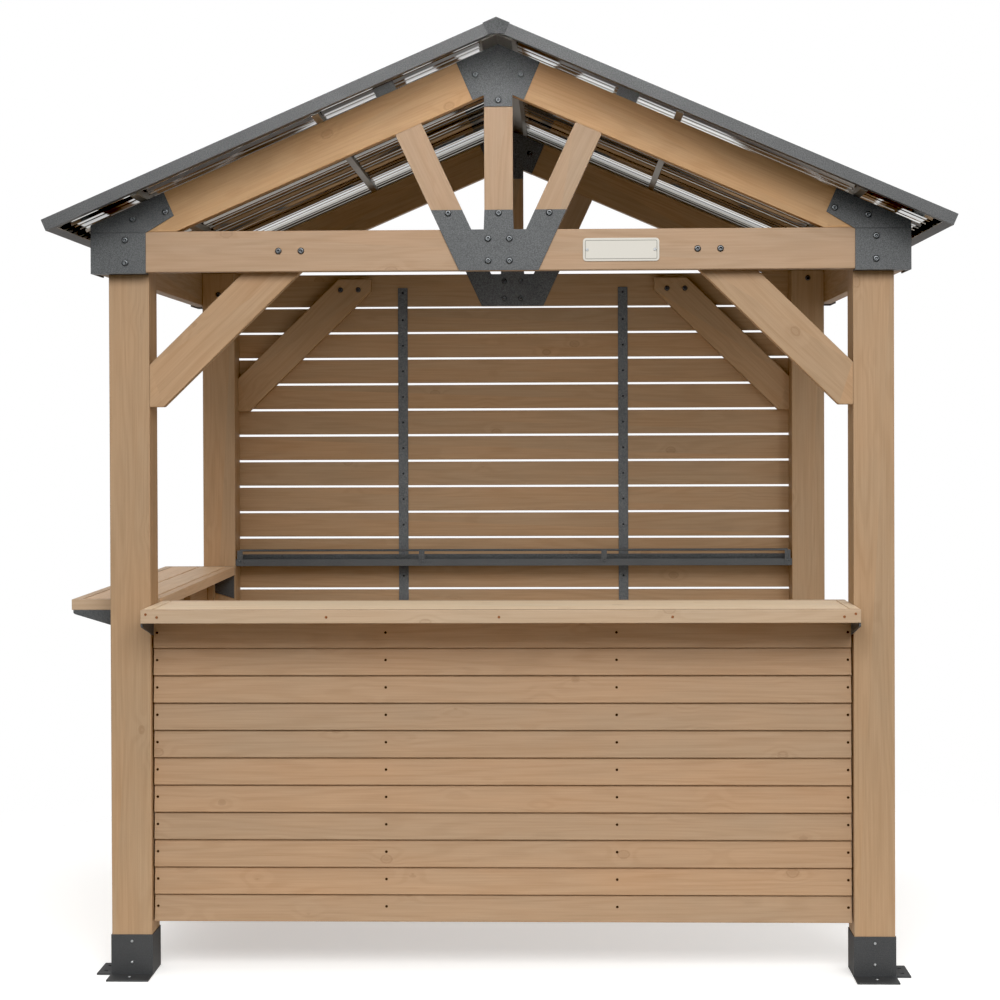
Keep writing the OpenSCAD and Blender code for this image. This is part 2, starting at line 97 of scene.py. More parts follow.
def add(tree, kind, inputs=None, **settings):
    """Adds a shader node: settings are its properties, inputs its sockets by name or number, each a value or a link."""
    made = tree.nodes.new(kind)
    for key, value in settings.items():
        setattr(made, key, value)
    for key, value in (inputs or {}).items():
        if isinstance(value, bpy.types.NodeSocket):
            tree.links.new(value, made.inputs[key])
        else:
            made.inputs[key].default_value = value
    return made


def new_material(name):
    """An empty node material with its Principled shader and its output."""
    material = bpy.data.materials.new(name)
    material.use_nodes = True
    tree = material.node_tree
    tree.nodes.clear()
    shader = add(tree, "ShaderNodeBsdfPrincipled")
    add(tree, "ShaderNodeOutputMaterial", {"Surface": shader.outputs[0]})
    return material, tree, shader


def mesh_piece(name, bm, material, replaced=()):
    """Turns a bmesh into a piece that rides on the building."""
    mesh = bpy.data.meshes.new(name)
    bmesh.ops.recalc_face_normals(bm, faces=bm.faces)
    bm.to_mesh(mesh)
    bm.free()
    mesh.materials.append(material)
    piece = bpy.data.objects.new(name, mesh)
    bpy.context.scene.collection.objects.link(piece)
    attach(piece, "root")
    if replaced:
        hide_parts(*replaced)
    return piece


def eased_box(bm, low, high, ease):
    """Adds a board between two corners, with its arrises taken off."""
    low, high = Vector(low), Vector(high)
    made = bmesh.ops.create_cube(bm, size=1.0)
    for vert in made["verts"]:
        vert.co = Vector([(low[i] + high[i]) / 2 + vert.co[i] * (high[i] - low[i]) for i in range(3)])
    edges = list({edge for vert in made["verts"] for edge in vert.link_edges})
    bmesh.ops.bevel(bm, geom=edges, offset=ease, segments=2, profile=0.6, affect="EDGES")


def prism(bm, outline, place, start, end):
    """Adds a bar of a closed outline: place(u, v, t) gives a point at t, from start to end."""
    rings = [[bm.verts.new(place(u, v, t)) for u, v in outline] for t in (start, end)]
    count = len(outline)
    for i in range(count):
        j = (i + 1) % count
        bm.faces.new((rings[0][i], rings[0][j], rings[1][j], rings[1][i]))
    bm.faces.new(rings[0])
    bm.faces.new(rings[1])


def turned_heads(bm, places, profile, sides=20):
    """Adds a turned head at each (point, outward direction): profile is rings of (radius, height) in mm."""
    for point, outward in places:
        turn = UP.rotation_difference(outward).to_matrix()
        rings = []
        for radius, height in profile:
            ring = []
            for k in range(sides):
                angle = 2 * math.pi * k / sides
                local = Vector((radius * math.cos(angle), radius * math.sin(angle), height)) * MM
                ring.append(bm.verts.new(Vector(point) + turn @ local))
            rings.append(ring)
        for lower, upper in zip(rings, rings[1:]):
            for k in range(sides):
                n = (k + 1) % sides
                bm.faces.new((lower[k], lower[n], upper[n], upper[k]))
        bm.faces.new(rings[-1])


def heads_piece(name, places, profile, material, sides=20):
    """A piece of like heads, smooth round their sides."""
    bm = bmesh.new()
    turned_heads(bm, places, profile, sides)
    mesh_piece(name, bm, material).data.shade_smooth()


# Materials

def timber_coordinates(tree, direction):
    """Coordinates in mm with X along the grain, shifted at random for each board, and a chance value for its tint."""
    shift_mm = (4000, 900, 900)
    turn = {"x": (0, 0, 0), "y": (0, 0, -math.pi / 2), "z": (0, math.pi / 2, 0),
            "rafter": (0, math.radians(-ROOF_PITCH), 0),
            "brace": (0, math.radians(-BRACE_LEAN), 0),
            "strut": (0, math.radians(90 - STRUT_LEAN), 0)}[direction]
    place = add(tree, "ShaderNodeTexCoord").outputs["Object"]
    if direction in ("rafter", "brace", "strut"):
        place = add(tree, "ShaderNodeVectorMath", {0: place}, operation="ABSOLUTE").outputs[0]
    mapped = add(tree, "ShaderNodeMapping", {"Vector": place, "Rotation": turn, "Scale": (1 / MM, 1 / MM, 1 / MM)})
    island = add(tree, "ShaderNodeNewGeometry").outputs["Random Per Island"]
    thing = add(tree, "ShaderNodeObjectInfo").outputs["Random"]
    seed = add(tree, "ShaderNodeMath", {0: island, 1: thing}, operation="ADD")
    chance = add(tree, "ShaderNodeTexWhiteNoise", {"W": seed.outputs[0]}, noise_dimensions="1D")
    shift = add(tree, "ShaderNodeVectorMath", {0: chance.outputs["Color"], 1: shift_mm, 2: mapped.outputs[0]},
                operation="MULTIPLY_ADD")
    return shift.outputs[0], chance.outputs["Value"]


def stained_fir(name, direction, light, dark, knot, rough=0.58):
    """Planed fir under a semi-solid stain: a soft flat-sawn figure that bends round a few faint knots, fine fibres and
    a tint of its own for each board, with a low satin gloss.

    Real fibres are under 1 mm wide; they are drawn coarser so that they show in the render."""
    figure_long, figure_wide, line_count = 900.0, 75.0, 60.0
    fibre_mm, mottle_mm = 4.0, 110.0
    knot_mm, knot_squeeze, ragged_mm, bark_mm = 10.0, 0.7, 9.0, 1.8
    bend_mm, bend_lines = 45.0, 8.0
    cell = (400.0, 130.0, 75.0)  # there is one knot to a block of this size, in mm
    material, tree, shader = new_material(name)
    grain, chance = timber_coordinates(tree, direction)

    celled = add(tree, "ShaderNodeVectorMath", {0: grain, 1: tuple(1 / c for c in cell)},
                 operation="MULTIPLY").outputs[0]
    branch = add(tree, "ShaderNodeTexVoronoi", {"Vector": celled, "Scale": 1.0, "Randomness": 1.0})
    reach = add(tree, "ShaderNodeVectorMath", {0: celled, 1: branch.outputs["Position"]}, operation="SUBTRACT")
    in_mm = add(tree, "ShaderNodeVectorMath", {0: reach.outputs[0], 1: (cell[0] * knot_squeeze, cell[1], cell[2])},
                operation="MULTIPLY")
    away = add(tree, "ShaderNodeVectorMath", {0: in_mm.outputs[0]}, operation="LENGTH").outputs["Value"]
    near = add(tree, "ShaderNodeMapRange", {"Value": away, "From Min": 0.0, "From Max": bend_mm, "To Min": bend_lines,
                                            "To Max": 0.0}, interpolation_type="SMOOTHSTEP").outputs[0]

    figure = (1 / figure_long, 1 / figure_wide, 1 / figure_wide)
    swell_place = add(tree, "ShaderNodeVectorMath", {0: grain, 1: figure}, operation="MULTIPLY").outputs[0]
    swell = add(tree, "ShaderNodeTexNoise", {"Vector": swell_place, "Scale": 1.0, "Detail": 1.5, "Roughness": 0.4})
    rings = add(tree, "ShaderNodeMath", {0: swell.outputs["Fac"], 1: line_count, 2: near},
                operation="MULTIPLY_ADD").outputs[0]
    rings = add(tree, "ShaderNodeMath", {0: rings}, operation="SINE").outputs[0]
    rings = add(tree, "ShaderNodeMapRange", {"Value": rings, "From Min": -0.4, "From Max": 1.0, "To Max": 0.15},
                interpolation_type="SMOOTHSTEP").outputs[0]
    fibre_place = add(tree, "ShaderNodeVectorMath", {0: grain, 1: (0.02, 1, 1)}, operation="MULTIPLY").outputs[0]
    fibres = add(tree, "ShaderNodeTexNoise", {"Vector": fibre_place, "Scale": 1 / fibre_mm, "Detail": 4.0,
                                              "Roughness": 0.65})
    mottle_place = add(tree, "ShaderNodeVectorMath", {0: grain, 1: (0.3, 1, 1)}, operation="MULTIPLY").outputs[0]
    mottle = add(tree, "ShaderNodeTexNoise", {"Vector": mottle_place, "Scale": 1 / mottle_mm, "Detail": 3.0})

    ragged = add(tree, "ShaderNodeMath", {0: fibres.outputs["Fac"], 1: ragged_mm, 2: away},
                 operation="MULTIPLY_ADD").outputs[0]
    knots = add(tree, "ShaderNodeMapRange", {"Value": ragged, "From Min": knot_mm * 1.9, "From Max": knot_mm * 0.9,
                                             "To Max": 0.2}, interpolation_type="SMOOTHSTEP").outputs[0]
    bark = add(tree, "ShaderNodeMath", {0: ragged, 1: knot_mm * 1.6, 2: bark_mm}, operation="COMPARE").outputs[0]
    dark_knot = add(tree, "ShaderNodeMath", {0: bark, 1: 0.24, 2: knots}, operation="MULTIPLY_ADD").outputs[0]

    streak = add(tree, "ShaderNodeMapRange", {"Value": fibres.outputs["Fac"], "From Min": 0.3, "From Max": 0.7,
                                              "To Max": 0.4}).outputs[0]
    depth = add(tree, "ShaderNodeMath", {0: rings, 1: streak}, operation="ADD").outputs[0]
    base = add(tree, "ShaderNodeMix", {0: depth, 6: linear(light), 7: linear(dark)}, data_type="RGBA").outputs[2]
    patch = add(tree, "ShaderNodeMapRange", {"Value": mottle.outputs["Fac"], "From Min": 0.3, "From Max": 0.7,
                                             "To Min": -0.5, "To Max": 0.5}).outputs[0]
    lean = add(tree, "ShaderNodeMapRange", {"Value": chance, "To Min": -0.5, "To Max": 0.5}).outputs[0]
    warmth = add(tree, "ShaderNodeMath", {0: patch, 1: lean}, operation="ADD").outputs[0]
    hue = add(tree, "ShaderNodeMath", {0: warmth, 1: -0.0035, 2: 0.5}, operation="MULTIPLY_ADD").outputs[0]
    fullness = add(tree, "ShaderNodeMath", {0: warmth, 1: 0.07, 2: 1.0}, operation="MULTIPLY_ADD").outputs[0]
    both = add(tree, "ShaderNodeMath", {0: patch, 1: 0.6, 2: lean}, operation="MULTIPLY_ADD").outputs[0]
    value = add(tree, "ShaderNodeMath", {0: both, 1: 0.10, 2: 1.0}, operation="MULTIPLY_ADD").outputs[0]
    tinted = add(tree, "ShaderNodeHueSaturation", {"Hue": hue, "Saturation": fullness, "Value": value, "Color": base})
    knotted = add(tree, "ShaderNodeMix", {0: dark_knot, 6: tinted.outputs[0], 7: linear(knot)},
                  data_type="RGBA").outputs[2]
    tree.links.new(knotted, shader.inputs["Base Color"])

    gloss = add(tree, "ShaderNodeMapRange", {"Value": depth, "To Min": rough - 0.05, "To Max": rough + 0.1})
    tree.links.new(gloss.outputs[0], shader.inputs["Roughness"])
    shader.inputs["Specular IOR Level"].default_value = 0.35
    bump = add(tree, "ShaderNodeBump", {"Height": depth, "Strength": 0.3, "Distance": 0.4 * MM})
    tree.links.new(bump.outputs[0], shader.inputs["Normal"])
    return material


def powder_coated_steel(name, colour, fleck, rough=0.5, fleck_mm=2.6, backer=None):
    """Steel under a fine-textured powder coat: an even grey with a grain of lighter flecks and a dull sheen.

    The real grain is about 0.5 mm; it is drawn coarser so that it shows in the render. A backer is the pale wash coat
    of bent sheet, on the faces that look in at the building."""
    cloud_mm = 120.0
    material, tree, shader = new_material(name)
    place = add(tree, "ShaderNodeTexCoord").outputs["Object"]
    flecks = add(tree, "ShaderNodeTexNoise", {"Vector": place, "Scale": 1 / (fleck_mm * MM), "Detail": 2.0})
    cloud = add(tree, "ShaderNodeTexNoise", {"Vector": place, "Scale": 1 / (cloud_mm * MM), "Detail": 3.0})
    share = add(tree, "ShaderNodeMapRange", {"Value": flecks.outputs["Fac"], "From Min": 0.35,
                                             "From Max": 0.75}).outputs[0]
    mixed = add(tree, "ShaderNodeMix", {0: share, 6: linear(colour), 7: linear(fleck)}, data_type="RGBA").outputs[2]
    shade = add(tree, "ShaderNodeMapRange", {"Value": cloud.outputs["Fac"], "From Min": 0.3, "From Max": 0.7,
                                             "To Min": 0.92, "To Max": 1.08}).outputs[0]
    coat = add(tree, "ShaderNodeHueSaturation", {"Value": shade, "Color": mixed}).outputs[0]
    if backer:
        flat = add(tree, "ShaderNodeVectorMath", {0: place, 1: (1, 1, 0)}, operation="MULTIPLY").outputs[0]
        facing = add(tree, "ShaderNodeNewGeometry").outputs["Normal"]
        outward = add(tree, "ShaderNodeVectorMath", {0: flat, 1: facing}, operation="DOT_PRODUCT").outputs["Value"]
        inside = add(tree, "ShaderNodeMath", {0: outward, 1: -0.7}, operation="LESS_THAN").outputs[0]
        coat = add(tree, "ShaderNodeMix", {0: inside, 6: coat, 7: linear(backer)}, data_type="RGBA").outputs[2]
    tree.links.new(coat, shader.inputs["Base Color"])
    shader.inputs["Roughness"].default_value = rough
    bump = add(tree, "ShaderNodeBump", {"Height": flecks.outputs["Fac"], "Strength": 0.2, "Distance": 0.2 * MM})
    tree.links.new(bump.outputs[0], shader.inputs["Normal"])
    return material


def coated_roofing(name):
    """Roll-formed roofing steel: satin grey paint on top, bright aluminium-zinc below that mirrors the timber in
    streaks along the ribs.

    The paint's real grain is under 1 mm; it is drawn coarser so that it shows in the render."""
    streak_mm, grain_mm = 45.0, 3.0
    material, tree, shader = new_material(name)
    coords = add(tree, "ShaderNodeTexCoord")
    facing = add(tree, "ShaderNodeSeparateXYZ", {0: coords.outputs["Normal"]}).outputs["Z"]
    top = add(tree, "ShaderNodeMath", {0: facing, 1: 0.0}, operation="GREATER_THAN").outputs[0]
    drawn = add(tree, "ShaderNodeVectorMath", {0: coords.outputs["Object"], 1: (0.02, 1, 0.02)},
                operation="MULTIPLY").outputs[0]
    streaks = add(tree, "ShaderNodeTexNoise", {"Vector": drawn, "Scale": 1 / (streak_mm * MM), "Detail": 1.0})
    grain = add(tree, "ShaderNodeTexNoise", {"Vector": coords.outputs["Object"], "Scale": 1 / (grain_mm * MM),
                                             "Detail": 2.0})
    paint = add(tree, "ShaderNodeMix", {0: grain.outputs["Fac"], 6: linear("#56585A"), 7: linear("#6C6E70")},
                data_type="RGBA").outputs[2]
    lines = add(tree, "ShaderNodeMapRange", {"Value": streaks.outputs["Fac"], "From Min": 0.35,
                                             "From Max": 0.65}).outputs[0]
    bare = add(tree, "ShaderNodeMix", {0: lines, 6: linear("#8A8A8A"), 7: linear("#ECECE8")},
               data_type="RGBA").outputs[2]
    skin = add(tree, "ShaderNodeMix", {0: top, 6: bare, 7: paint}, data_type="RGBA").outputs[2]
    tree.links.new(skin, shader.inputs["Base Color"])
    metal = add(tree, "ShaderNodeMapRange", {"Value": top, "To Min": 1.0, "To Max": 0.0})
    tree.links.new(metal.outputs[0], shader.inputs["Metallic"])
    gloss = add(tree, "ShaderNodeMapRange", {"Value": top, "To Min": 0.05, "To Max": 0.45})
    tree.links.new(gloss.outputs[0], shader.inputs["Roughness"])
    bump = add(tree, "ShaderNodeBump", {"Height": streaks.outputs["Fac"], "Strength": 0.3, "Distance": 0.8 * MM})
    tree.links.new(bump.outputs[0], shader.inputs["Normal"])
    return material


def zinc_plated(name, colour, rough):
    """Zinc-plated, blackened or galvanised steel: bare metal with small changes of gloss."""
    wear_mm = 4.0
    material, tree, shader = new_material(name)
    place = add(tree, "ShaderNodeTexCoord").outputs["Object"]
    wear = add(tree, "ShaderNodeTexNoise", {"Vector": place, "Scale": 1 / (wear_mm * MM), "Detail": 3.0})
    gloss = add(tree, "ShaderNodeMapRange", {"Value": wear.outputs["Fac"], "To Min": rough - 0.1,
                                             "To Max": rough + 0.15})
    tree.links.new(gloss.outputs[0], shader.inputs["Roughness"])
    shader.inputs["Base Color"].default_value = linear(colour)
    shader.inputs["Metallic"].default_value = 1.0
    return material


def enamelled_plate(name, colour):
    """Stove-enamelled sheet: warm white, glossy, with a trace of unevenness."""
    ripple_mm = 30.0
    material, tree, shader = new_material(name)
    place = add(tree, "ShaderNodeTexCoord").outputs["Object"]
    ripple = add(tree, "ShaderNodeTexNoise", {"Vector": place, "Scale": 1 / (ripple_mm * MM), "Detail": 2.0})
    bump = add(tree, "ShaderNodeBump", {"Height": ripple.outputs["Fac"], "Strength": 0.1, "Distance": 0.3 * MM})
    tree.links.new(bump.outputs[0], shader.inputs["Normal"])
    shader.inputs["Base Color"].default_value = linear(colour)
    shader.inputs["Roughness"].default_value = 0.3
    return material


# Stains: the light and the dark of the figure, and the knots.
WALNUT_STAIN = ("#B39372", "#967553", "#7C5B3C")
# Painted light: a brighter, warmer copy of the walnut stain for the front rafters, standing in for light under the
# gable overhang.
FRONT_RAFTER_LIT_STAIN = ("#C49B6F", "#A57B50", "#835C37")
SIDING_STAIN = ("#AE9072", "#927253", "#79593C")
# A greyer stain for the front beam, king posts and struts, also darkened as painted shade to offset the gable lamp's
# light on them.
GREY_STAIN_WITH_PAINTED_SHADE = ("#B1957A", "#987B5D", "#7E5F42")
COUNTER_STAIN = ("#C4A88B", "#AA8C6C", "#8B6C4E")
# Painted light: a lighter copy of the counter stain for the left counter's edge boards, lifting the shade they stand
# in.
LEFT_RIM_LIGHTENED_STAIN = ("#DABA99", "#BE9C78", "#9B7A58")
# Painted light: a lighter, warmer copy for the left counter's planks, standing in for light on its shaded top.
LEFT_PLANK_LIGHTENED_STAIN = ("#EFCBA6", "#D2AB83", "#AB8762")
# Painted light: a much lighter copy for the front counter's planks and end boards, standing in for the light that falls
# on their tops.
TOP_LIT_PLANK_STAIN = ("#F0DABC", "#D9BC99", "#AB8B68")

fir = {way: stained_fir("stained_fir_" + way, way, *WALNUT_STAIN) for way in ("x", "y", "z", "rafter", "brace")}
# The front rafters' stain is painted light: brighter than the rear rafters' to make up for the overhang's shade.
front_rafter_lit_fir = stained_fir("rafter_fir_with_painted_light", "rafter", *FRONT_RAFTER_LIT_STAIN)
siding_fir = {way: stained_fir("weathered_fir_" + way, way, *SIDING_STAIN) for way in ("x", "y")}
# Greyer stain with painted shade: darker than it would be, against the gable lamp.
grey_fir_with_painted_shade = {way: stained_fir("grey_stained_fir_with_painted_shade_" + way, way, *GREY_STAIN_WITH_PAINTED_SHADE) for way in ("x", "z", "strut")}
counter_fir = {"x": stained_fir("thickly_stained_fir_x", "x", *COUNTER_STAIN)}
# The left counter's edge boards: a lightened stain that is painted light.
left_rim_lightened_fir = {"y": stained_fir("lightened_for_shade_rim_fir_y", "y", *LEFT_RIM_LIGHTENED_STAIN)}
# The left counter's planks: a lightened stain that is painted light.
left_plank_lightened_fir = {"y": stained_fir("lightened_for_shade_plank_fir_y", "y", *LEFT_PLANK_LIGHTENED_STAIN)}
# The front counter's planks and end boards: a lightened stain that is painted top light.
top_lit_plank_fir = {way: stained_fir("planed_fir_with_painted_top_light_" + way, way, *TOP_LIT_PLANK_STAIN) for way in ("x", "y")}

dark_steel = powder_coated_steel("powder_coated_dark_steel", "#404243", "#686A6B")
foot_steel = powder_coated_steel("powder_coated_foot_steel", "#333435", "#494A4B", 0.6)
roof_trim_steel = powder_coated_steel("powder_coated_roof_trim", "#404142", "#666767", 0.5, 3.0, "#E4E0D6")
ridge_steel = powder_coated_steel("matt_powder_coated_ridge", "#404142", "#666767", 0.85, 3.0)
strap_steel = powder_coated_steel("powder_coated_strap_steel", "#505355", "#787B7C")
# Painted light: the clips' grey is lighter than the other powder coat, standing in for light in the shade under the
# roof sheets.
lightened_grey_clips = powder_coated_steel("powder_coat_clip_with_painted_light", "#77797A", "#8F9192")
roofing = coated_roofing("roll_formed_roofing")

black_bolt = zinc_plated("blackened_bolt", "#6E7072", 0.3)
plate_bolt = zinc_plated("dull_plated_bolt", "#75787A", 0.3)
galvanised = zinc_plated("galvanised_purlin", "#A19D96", 0.42)
bright_screw = zinc_plated("zinc_plated_screw", "#B8BABB", 0.35)
brown_nail = zinc_plated("bronzed_nail", "#402E22", 0.5)
dark_screw = zinc_plated("blackened_screw", "#46484A", 0.5)
red_screw = zinc_plated("red_brown_coated_screw", "#9A6848", 0.5)
sign_enamel = enamelled_plate("stove_enamelled_plate", "#D0CCC2")
border_enamel = enamelled_plate("stove_enamelled_border", "#85827A")


# Timber and steel of the frame

def dress(names, material, ease):
    """Gives CAD nodes their finish and eased edges."""
    for name in names:
        thing = nodes[name]
        thing.material_slots[0].material = material
        weld = thing.modifiers.new("weld", "WELD")
        weld.merge_threshold = WELD_REACH * MM
        edge = thing.modifiers.new("eased_edges", "BEVEL")
        edge.width = ease * MM
        edge.segments = 2
        edge.limit_method = "ANGLE"
        edge.angle_limit = math.radians(LEAST_EASED_ANGLE)


CORNERS = [end + side for end in ("front_", "rear_") for side in ("left_", "right_")]
dress([c + "post" for c in CORNERS] + ["front_studs", "left_studs"], fir["z"], TIMBER_EASE)
# King posts, front beam and struts: greyer stain, darkened as painted shade against the gable lamp.
dress(["king_posts"], grey_fir_with_painted_shade["z"], TIMBER_EASE)
dress(["rear_beam", "rear_slats"], fir["x"], TIMBER_EASE)
dress(["front_beam"], grey_fir_with_painted_shade["x"], TIMBER_EASE)
dress(["left_beam", "right_beam"], fir["y"], TIMBER_EASE)
# Painted light: the front rafters get the brighter copy of the stain, the rear rafters the plain one.
dress(["front_left_rafter", "front_right_rafter"], front_rafter_lit_fir, TIMBER_EASE)
dress(["rear_left_rafter", "rear_right_rafter"], fir["rafter"], TIMBER_EASE)
dress(["front_knee_braces", "rear_knee_braces"], fir["brace"], TIMBER_EASE)
# The struts take the greyer stain, darkened as painted shade.
dress(["front_struts", "rear_struts"], grey_fir_with_painted_shade["strut"], TIMBER_EASE)
dress([c + "foot" for c in CORNERS], foot_steel, PLATE_EASE)
dress(["front_truss_plates", "front_corner_brackets", "rear_corner_brackets",
       "front_counter_brackets", "left_counter_brackets", "bottle_shelf"], dark_steel, PLATE_EASE)
dress(["roof_purlins"], galvanised, PLATE_EASE)
# Painted light: the clips take the lightened grey.
dress(["rafter_clips"], lightened_grey_clips, PLATE_EASE)
dress(["slat_straps", "rear_truss_plates"], strap_steel, PLATE_EASE)
dress(["front_gable_trim", "rear_gable_trim", "left_eave_trim", "right_eave_trim"], roof_trim_steel, PLATE_EASE)
dress(["ridge_cap"], ridge_steel, PLATE_EASE)
for name in ("left_roof_sheet", "right_roof_sheet"):
    nodes[name].material_slots[0].material = roofing


# Siding boards

def course_count(low, high):
    """How many lapped boards there are between the two corners of a wall."""
    return math.floor((high[2] - low[2] - SIDING_LEAST * MM) / (SIDING_EXPOSURE * MM)) + 1


def lapped_boards(name, node, out_axis, material):
    """Replaces a siding solid by its separate lapped boards. out_axis is 0 or 1, the outer face towards minus."""
    low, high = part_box(node)
    back = high[out_axis]
    run = 1 - out_axis
    chance = random.Random(SIDING_SEED + out_axis)
    bm = bmesh.new()
    courses = course_count(low, high)
    gap, ease, lip = SIDING_GAP * MM, SIDING_EASE * MM, SIDING_LIP * MM
    for i in range(courses):
        z0 = low[2] + i * SIDING_EXPOSURE * MM
        z1 = z0 + SIDING_EXPOSURE * MM - gap if i < courses - 1 else high[2]
        share = min(1.0, (z1 - z0) / (SIDING_EXPOSURE * MM))
        butt = (SIDING_BUTT - chance.uniform(0, BUTT_SPREAD)) * MM
        tip = butt - (SIDING_BUTT - SIDING_TIP) * MM * share
        z0 += chance.uniform(-LINE_SPREAD, LINE_SPREAD) * MM if i else 0.0
        slot = SIDING_SLOT * MM if i < courses - 1 else 0.0
        rounded_butt = [(butt - ease, z0), (butt - 0.4 * ease, z0 + 0.35 * ease), (butt, z0 + ease)]
        eased_tip = [(tip + 0.4 * MM, z1 - slot - 1.2 * MM), (tip - 0.8 * MM, z1 - slot)]
        outline = [(0, z0)] + rounded_butt + eased_tip + [(lip, z1 - slot), (lip, z1), (0, z1)]

        def place(u, v, t):
            point = Vector((0, 0, v))
            point[out_axis] = back - u
            point[run] = t
            return point

        prism(bm, outline, place, low[run], high[run])
    mesh_piece(name, bm, material, [node])


lapped_boards("front_siding_boards", "front_siding", 1, siding_fir["x"])
lapped_boards("left_siding_boards", "left_siding", 0, siding_fir["y"])


# Counters

def counter_boards(node, run, planks, woods, gap, end_gap, ends_through):
    """Replaces a counter slab by its edge boards, planks and end boards, with gaps in mm.

    run is the axis that the planks follow. The end boards run through at the corners, or else the edge boards do."""
    low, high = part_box(node)
    across = 1 - run
    edge, gap, end_gap = EDGE_BOARD * MM, gap * MM, end_gap * MM
    cut = edge + CORNER_GAP * MM
    side_cut, end_cut = (cut, 0.0) if ends_through else (0.0, cut)
    pieces = {"edge": [], "plank": [], "end": []}
    for start, end in ((low[across], low[across] + edge), (high[across] - edge, high[across])):
        pieces["edge"].append((low[run] + side_cut, high[run] - side_cut, start, end))
    step = (high[across] - low[across] - 2 * edge) / planks
    for i in range(planks):
        start = low[across] + edge + i * step
        gap_before = gap / 2 if i else gap
        gap_after = gap / 2 if i < planks - 1 else gap
        pieces["plank"].append((low[run] + edge + end_gap, high[run] - edge - end_gap,
                                start + gap_before, start + step - gap_after))
    for start, end in ((low[run], low[run] + edge), (high[run] - edge, high[run])):
        pieces["end"].append((start, end, low[across] + end_cut, high[across] - end_cut))
    for kind, boards in pieces.items():
        bm = bmesh.new()
        for a, b, c, d in boards:
            corner0, corner1 = Vector(low), Vector(high)
            corner0[run], corner1[run], corner0[across], corner1[across] = a, b, c, d
            eased_box(bm, corner0, corner1, BOARD_EASE * MM)
        along = across if kind == "end" else run
        mesh_piece(node + "_" + kind + "_boards", bm, woods[kind]["xy"[along]], [node])


# Painted light: the front counter's planks and end boards take the top-lit stain.
counter_boards("front_counter", run=0, planks=3, woods={"edge": counter_fir, "plank": top_lit_plank_fir, "end": top_lit_plank_fir},
               gap=1.0, end_gap=3.0, ends_through=False)
# Painted light: the left counter's edge boards and planks take lightened stains that lift their shade.
counter_boards("left_counter", run=1, planks=2, woods={"edge": left_rim_lightened_fir, "plank": left_plank_lightened_fir, "end": counter_fir},
               gap=4.5, end_gap=4.5, ends_through=True)


# Bolts, screws and nails

# Heads, as rings of radius and height in millimetres.
BUTTON_HEAD = [(9.5, 0), (9.5, 1.2), (8.8, 3.2), (7.0, 4.8), (4.4, 5.6), (3.9, 5.2), (3.6, 2.4)]
FLAT_HEAD = [(4.4, 0), (4.4, 0.5), (3.6, 1.0), (1.6, 1.1), (1.4, 0.5)]
SMALL_HEAD = [(3.8, 0), (3.8, 0.5), (3.1, 0.9), (1.4, 1.0), (1.2, 0.5)]
PAN_HEAD = [(4.0, 0), (4.0, 0.8), (3.5, 1.8), (2.2, 2.4), (1.3, 2.5), (1.1, 1.4)]
ROOF_HEAD = [(9.0, 0), (9.0, 1.2), (6.0, 1.6), (5.6, 1.8), (5.4, 5.2), (4.4, 5.8)]


def mirrored(points):
    """Points in mm on the right half, with their mirror images."""
    return list(points) + [(-x, z) for x, z in points if x]


# Bolts in the plates and beams, as x and z in millimetres.
GUSSET_BOLTS = mirrored([(142, 2157), (0, 2157), (30, 2085), (30, 2023)])
APEX_BOLTS = mirrored([(64, 2545), (0, 2473)])
CORNER_BOLTS = mirrored([(1054, 2087), (1054, 2023), (1032, 2146), (939, 2166)])
BRACE_BOLTS = mirrored([(557, 2054), (621, 2054)])
SIDE_BOLT_HEIGHTS = (2023, 2087)

# Other fasteners' places, in metres, and the slats that the strap screws follow, in millimetres.
SIDE_BOLT_Y = (-0.79, 0.79)
POST_BOLT_Z = {"left": 2.035, "right": 2.083}
FRONT_NAIL_X = (-0.981, -0.328, 0.328, 0.981)
LEFT_NAIL_Y = (-0.711, -0.24, 0.24, 0.711)
NAIL_RISE = 0.55  # share of a board's height
NAIL_SUNK = 0.4  # millimetres
END_SCREW_X = (-0.98, 0.98)
FRONT_SCREW_X = (-0.98, -0.949, -0.478, 0.0, 0.478, 0.949, 0.98)
END_SCREW_DROP, FRONT_SCREW_DROP, LEFT_SCREW_DROP = 0.012, 0.020, 0.016
LEFT_SCREW_Y = (-0.7, -0.35, 0.0, 0.35, 0.7)
STRAP_HALF = 0.0175
STRAP_TOP_SCREW_Z = 2.044
SLATS = 20
SLAT_PITCH, SLAT_GAP, SLAT_HALF = 92.8, 7.6, 42.6
SHELF_SCREW_X = (-0.979, -0.326, 0.326, 0.979)
SHELF_SCREW_Z = 1.079
FOOT_WALL = 2.2  # millimetres
FOOT_SCREW_Z = (0.037, 0.097)
FLANGE_SCREW_OUT, FLANGE_TOP = 0.038, 0.005

plate_places, beam_places = [], []
for end, outward in (("front", FRONT), ("rear", BACK)):
    sign = outward.y
    truss_low, truss_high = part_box(end + "_truss_plates")
    outer = truss_low.y if sign < 0 else truss_high.y
    inner = truss_high.y if sign < 0 else truss_low.y
    for x, z in GUSSET_BOLTS + APEX_BOLTS:
        plate_places.append((Vector((x * MM, outer, z * MM)), outward))
        plate_places.append((Vector((x * MM, inner, z * MM)), -outward))
    for x, z in CORNER_BOLTS:
        plate_places.append((Vector((x * MM, outer, z * MM)), outward))
    beam_low, beam_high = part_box(end + "_beam")
    brace_low, brace_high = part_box(end + "_knee_braces")
    beam_face = beam_low.y if sign < 0 else beam_high.y
    brace_face = brace_high.y if sign < 0 else brace_low.y
    for x, z in BRACE_BOLTS:
        beam_places.append((Vector((x * MM, beam_face, z * MM)), outward))
        beam_places.append((Vector((x * MM, brace_face, z * MM)), -outward))
